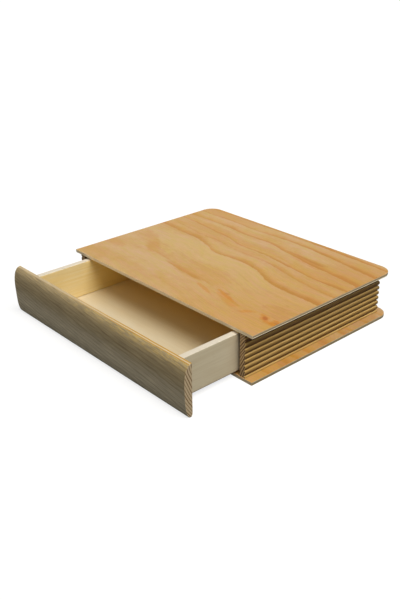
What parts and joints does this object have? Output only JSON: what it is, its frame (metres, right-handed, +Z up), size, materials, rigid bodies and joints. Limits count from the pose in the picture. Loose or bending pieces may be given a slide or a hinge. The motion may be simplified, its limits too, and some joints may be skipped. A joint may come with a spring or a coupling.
{
  "type": "book-shaped wooden box with drawer",
  "caption": "Wooden keepsake box shaped like a closed book: thin covers over beaded page edges, with a shallow drawer that pulls out at the rounded spine.",
  "frame": {"origin": "middle of the lower cover's underside, on the plane that the box stands on", "axes": "+X along the spine, +Y from the spine to the fore edge, +Z up; the drawer opens along -Y"},
  "size_m": [0.24, 0.2486, 0.0458],
  "materials": {
    "cover_plywood": "satin oiled",
    "beaded_pine": "satin oiled",
    "spine_pine": "satin oiled",
    "drawer_limewood": "bare, sanded",
    "drawer_plywood": "bare, sanded"
  },
  "bodies": {
    "case": {"top_cover": "cover_plywood", "bottom_cover": "cover_plywood", "left_page_rail": "beaded_pine", "right_page_rail": "beaded_pine", "rear_page_rail": "beaded_pine"},
    "drawer": {"drawer_front_spine": "spine_pine", "drawer_sub_front": "drawer_limewood", "drawer_left_side": "drawer_limewood", "drawer_right_side": "drawer_limewood", "drawer_back": "drawer_limewood", "drawer_bottom": "drawer_plywood"}
  },
  "joints": [
    {"name": "drawer_slide", "type": "slide", "parent": "case", "child": "drawer", "axis": [0, -1, 0], "range_m": [-0.0607, 0.08]}
  ]
}
